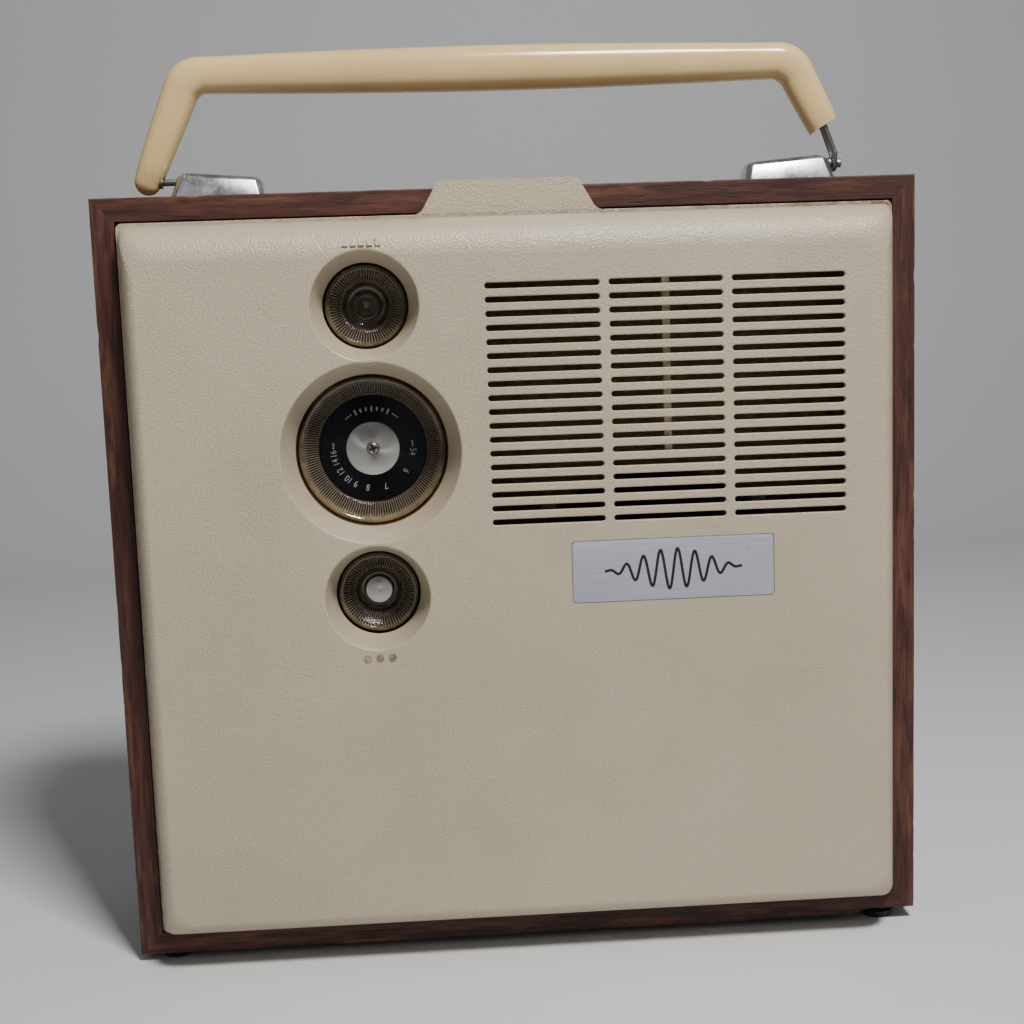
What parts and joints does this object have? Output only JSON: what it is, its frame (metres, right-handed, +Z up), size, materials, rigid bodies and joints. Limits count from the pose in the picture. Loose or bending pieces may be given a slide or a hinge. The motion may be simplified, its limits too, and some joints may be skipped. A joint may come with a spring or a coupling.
{
  "type": "tabletop radio",
  "caption": "Portable tabletop radio in a mitred wood case: drop-front moulded cover over recessed knobs and a speaker, with a hinged carrying handle on top.",
  "frame": {"origin": "middle of the bounding box in X and Y, on the plane under the feet", "axes": "+Z up, the front with the knobs faces -Y, +X to the right as seen from the front"},
  "size_m": [0.332, 0.11, 0.3798],
  "materials": {
    "walnut": "satin oil finish, worn at the corners",
    "hardboard": "rough pressed board",
    "pine": "sawn",
    "cover_plastic": "fine leather-grain stipple",
    "grip_plastic": "glossy, aged",
    "chrome_cast": "pitted chrome plate",
    "steel": "dull zinc plate",
    "nameplate_aluminium": "satin brushed, blue-silver",
    "spun_aluminium": "spun, fine circular lines",
    "amber_clear": "clear smoked amber plastic, fluted",
    "dial_black": "gloss black with white figures",
    "felt": "aged felt",
    "rubber_black": "matt",
    "brass": "dull",
    "cone_paper": "pressed fibre",
    "magnet_grey": "grey enamel",
    "board_resin": "phenolic board",
    "can_metal": "bright",
    "transistor_black": "matt black",
    "capacitor_sleeve": "blue sleeve",
    "transformer_iron": "varnished laminations",
    "ferrite": "dark grey ferrite",
    "coil_winding": "waxed litz winding",
    "holder_plastic": "ivory",
    "tray_plastic": "black moulding",
    "cell_jacket": "plain printed jacket",
    "wire_insulation": "PVC",
    "core_wire": "rust-spotted"
  },
  "bodies": {
    "case": {"top_board": "walnut", "bottom_board": "walnut", "left_side_board": "walnut", "right_side_board": "walnut", "corner_blocks": "pine", "back_cover": "hardboard", "back_cover_screws": "steel", "rubber_feet": "rubber_black", "baffle_board": "hardboard", "baffle_cleats": "pine", "baffle_screws": "steel", "left_handle_bracket": "chrome_cast", "right_handle_bracket": "chrome_cast", "handle_bracket_screws": "steel", "handle_pivot_pins": "steel", "handle_collars": "steel", "case_hinge_leaves": "brass", "hinge_pins": "steel", "case_hinge_screws": "steel", "catch_clip": "steel", "speaker_basket": "magnet_grey", "speaker_cone": "cone_paper", "speaker_dust_cap": "cone_paper", "speaker_magnet": "magnet_grey", "circuit_board": "board_resin", "board_standoffs": "steel", "if_cans": "can_metal", "transistors": "transistor_black", "electrolytic_capacitors": "capacitor_sleeve", "transformers": "transformer_iron", "ferrite_rod": "ferrite", "antenna_coil": "coil_winding", "antenna_holders": "holder_plastic", "tuning_frame": "steel", "tuning_stator": "can_metal", "volume_control": "steel", "select_switch": "board_resin", "control_nuts": "brass", "battery_tray": "tray_plastic", "battery_cells": "cell_jacket", "battery_springs": "steel", "hookup_wires": "wire_insulation"},
    "front_cover": {"front_cover": "cover_plastic", "nameplate": "nameplate_aluminium", "dust_seal": "felt", "cover_hinge_leaves": "brass", "cover_hinge_screws": "steel", "catch_strike": "steel"},
    "handle": {"handle_grip": "grip_plastic", "handle_core": "core_wire"},
    "tuning": {"tuning_knob": "amber_clear", "dial_disc": "dial_black", "tuning_cap": "spun_aluminium", "tuning_screw": "steel", "tuning_rotor": "can_metal"},
    "volume": {"volume_knob": "amber_clear", "volume_shaft": "brass"},
    "select": {"select_knob": "amber_clear", "select_cap": "spun_aluminium", "select_shaft": "steel"}
  },
  "joints": [
    {"name": "cover_hinge", "type": "hinge", "parent": "case", "child": "front_cover", "pos_m": [0, -0.0373, 0.0141], "axis": [1, 0, 0], "range_deg": [0, 65]},
    {"name": "handle_pivot", "type": "hinge", "parent": "case", "child": "handle", "pos_m": [0, 0.009, 0.3265], "axis": [1, 0, 0], "range_deg": [-85, 85]},
    {"name": "tuning_turn", "type": "hinge", "parent": "case", "child": "tuning", "pos_m": [-0.0587, -0.03, 0.2134], "axis": [0, 1, 0], "range_deg": [-90, 90]},
    {"name": "volume_turn", "type": "hinge", "parent": "case", "child": "volume", "pos_m": [-0.0587, -0.03, 0.2713], "axis": [0, 1, 0], "range_deg": [-150, 150]},
    {"name": "select_turn", "type": "hinge", "parent": "case", "child": "select", "pos_m": [-0.0587, -0.03, 0.155], "axis": [0, 1, 0], "range_deg": [-30, 30]}
  ]
}
